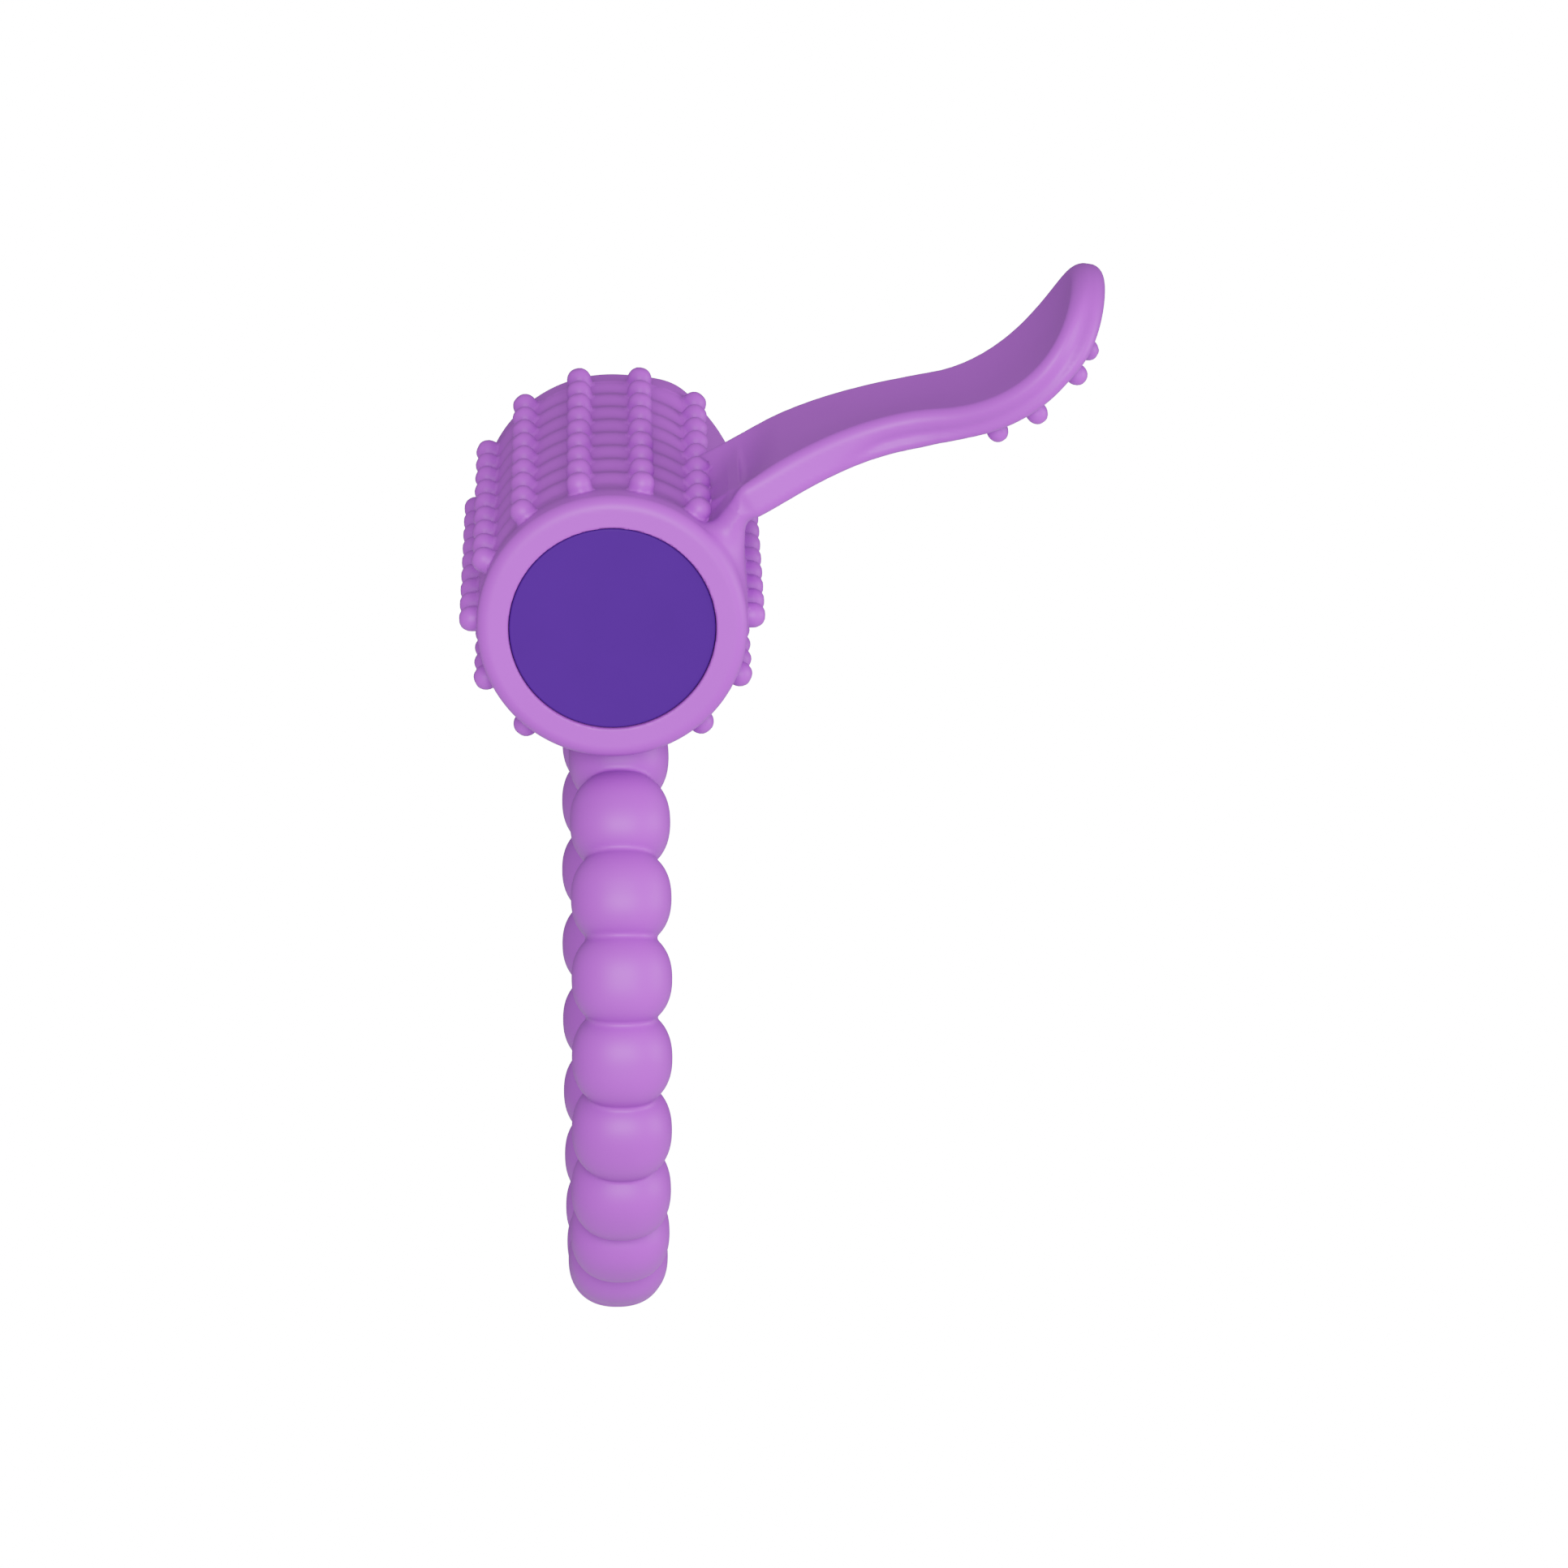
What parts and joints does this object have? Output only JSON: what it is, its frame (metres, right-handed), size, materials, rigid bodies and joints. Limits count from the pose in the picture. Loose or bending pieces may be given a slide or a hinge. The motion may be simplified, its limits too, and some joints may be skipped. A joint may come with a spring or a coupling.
{
  "type": "vibrating ring massager",
  "caption": "Beaded stretch ring with a ribbed, nubbed silicone sleeve that holds a small battery vibration capsule, and a curved flexible tongue with a nubbed spoon tip.",
  "frame": {"origin": "centre of the beaded stretch ring", "axes": "+X through the ring, towards the tongue; +Y along the sleeve from its open front to its closed rear; +Z from the ring's centre up to the sleeve"},
  "size_m": [0.0505, 0.056, 0.0874],
  "materials": {
    "silicone": "satin moulded silicone",
    "bullet_plastic": "satin",
    "boot_rubber": "matte",
    "brass": "satin",
    "board": "solder mask",
    "black_plastic": "matte",
    "white_plastic": "matte",
    "spring_steel": "satin",
    "cell_steel": "polished",
    "liner_film": "gloss",
    "motor_steel": "satin",
    "magnet": "matte",
    "bronze": "satin",
    "copper": "satin",
    "tungsten": "satin",
    "red_insulation": "gloss",
    "black_insulation": "gloss"
  },
  "bodies": {
    "ring": {"beaded_ring": "silicone"},
    "sleeve": {"sleeve": "silicone"},
    "tongue": {"tongue": "silicone"},
    "bullet": {"bullet_shell": "bullet_plastic", "button_cell_front": "cell_steel", "button_cell_rear": "cell_steel", "battery_liner": "liner_film", "conductor_strip": "brass", "rear_contact": "brass", "bulkhead": "white_plastic", "motor_cradle": "boot_rubber", "motor_can": "motor_steel", "motor_end_cap": "white_plastic", "motor_brushes": "bronze", "motor_magnet": "magnet", "shaft_bush": "bronze", "red_lead": "red_insulation", "black_lead": "black_insulation"},
    "cap_seal": {"cap_o_ring": "boot_rubber"},
    "cap": {"battery_cap": "bullet_plastic", "button_boot": "boot_rubber", "cap_contact_ring": "brass", "switch_board": "board", "tact_switch": "black_plastic", "controller_chip": "black_plastic", "board_components": "white_plastic", "battery_spring": "spring_steel"},
    "button": {"push_button": "bullet_plastic", "switch_stem": "white_plastic"},
    "rotor": {"motor_shaft": "motor_steel", "commutator": "copper", "armature": "copper", "eccentric_weight": "tungsten"}
  },
  "joints": [
    {"name": "ring_flex", "type": "hinge", "parent": "ring", "child": "sleeve", "pos_m": [0, 0, 0.02125], "axis": [0, 1, 0], "range_deg": [-20, 20], "stiffness_Nm_per_rad": 0.1},
    {"name": "tongue_flex", "type": "hinge", "parent": "sleeve", "child": "tongue", "pos_m": [0.01024, -0.00965, 0.04292], "axis": [0, 1, 0], "range_deg": [-30, 30], "stiffness_Nm_per_rad": 0.04},
    {"name": "bullet_slide", "type": "slide", "parent": "sleeve", "child": "bullet", "axis": [0, -1, 0], "range_m": [0, 0.042]},
    {"name": "cap_travel", "type": "slide", "parent": "bullet", "child": "cap_seal", "axis": [0, -1, 0], "range_m": [0, 0.0025], "deforming": ["battery_spring"]},
    {"name": "cap_turn", "type": "hinge", "parent": "cap_seal", "child": "cap", "pos_m": [0, -0.0196, 0.03345], "axis": [0, -1, 0], "range_deg": [0, 720]},
    {"name": "button_press", "type": "slide", "parent": "cap", "child": "button", "axis": [0, 1, 0], "range_m": [0, 0.0005], "stiffness_N_per_m": 400, "springref_m": -0.0002, "deforming": ["button_boot"]},
    {"name": "motor_spin", "type": "hinge", "parent": "bullet", "child": "rotor", "pos_m": [0, 0.01, 0.03345], "axis": [0, 1, 0], "continuous": true}
  ],
  "couplings": [
    {"joint": "cap_turn", "follows": "cap_travel", "rad_per_m": 5026.5}
  ]
}
